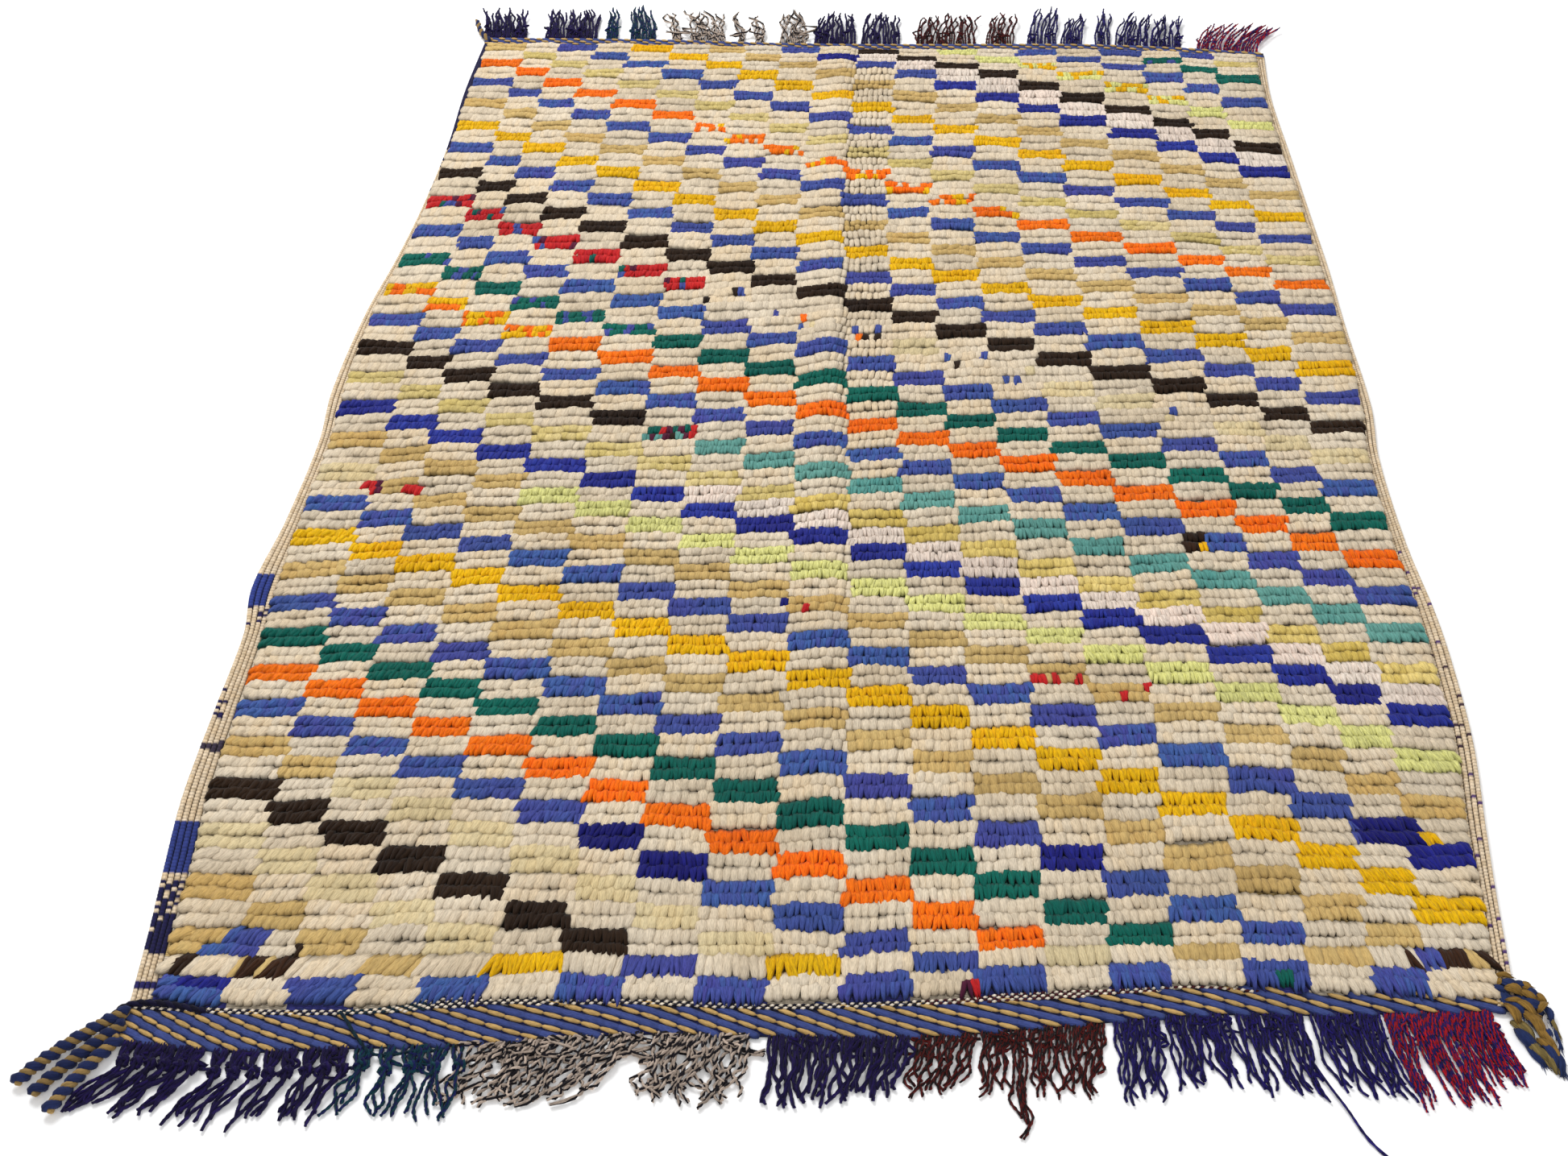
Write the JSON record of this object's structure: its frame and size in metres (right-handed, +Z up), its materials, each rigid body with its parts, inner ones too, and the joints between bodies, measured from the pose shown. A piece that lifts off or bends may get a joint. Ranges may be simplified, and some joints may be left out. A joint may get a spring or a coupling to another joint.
{
  "type": "moroccan rug",
  "caption": "Flat hand-knotted wool pile rug in a checkerboard of dyed diagonals, with wrapped selvedges, twined end bands and long yarn fringes.",
  "frame": {"origin": "middle of the rug's four corners, on its flat underside", "axes": "+X across the rug, +Y along it from the wide twined band to the narrow one, +Z up out of the pile"},
  "size_m": [1.6384, 2.4942, 0.025],
  "materials": {
    "pile_wool": "cut wool pile, matt",
    "beige_wrap": "wrapped wool cords, matt",
    "blue_twine": "twined blue and tan wool, matt",
    "navy_yarn": "plied wool, soft sheen",
    "teal_yarn": "plied wool, soft sheen",
    "marled_yarn": "plied cream and black wool, matt",
    "maroon_yarn": "plied maroon and black wool, matt",
    "indigo_yarn": "plied wool, soft sheen",
    "red_yarn": "plied red and indigo wool, matt"
  },
  "bodies": {
    "root": {"pile_field": "pile_wool", "selvedge_left": "beige_wrap", "selvedge_right": "beige_wrap", "band_near": "blue_twine", "band_far": "blue_twine", "corner_tails": "blue_twine", "corner_knot": "blue_twine", "fringe_near_navy_left": "navy_yarn", "fringe_near_teal": "teal_yarn", "fringe_near_marled": "marled_yarn", "fringe_near_navy_mid": "navy_yarn", "fringe_near_maroon": "maroon_yarn", "fringe_near_indigo": "indigo_yarn", "fringe_near_red": "red_yarn", "fringe_far_navy_left": "navy_yarn", "fringe_far_teal": "teal_yarn", "fringe_far_marled": "marled_yarn", "fringe_far_navy_mid": "navy_yarn", "fringe_far_maroon": "maroon_yarn", "fringe_far_indigo": "indigo_yarn", "fringe_far_red": "red_yarn"}
  },
  "joints": []
}
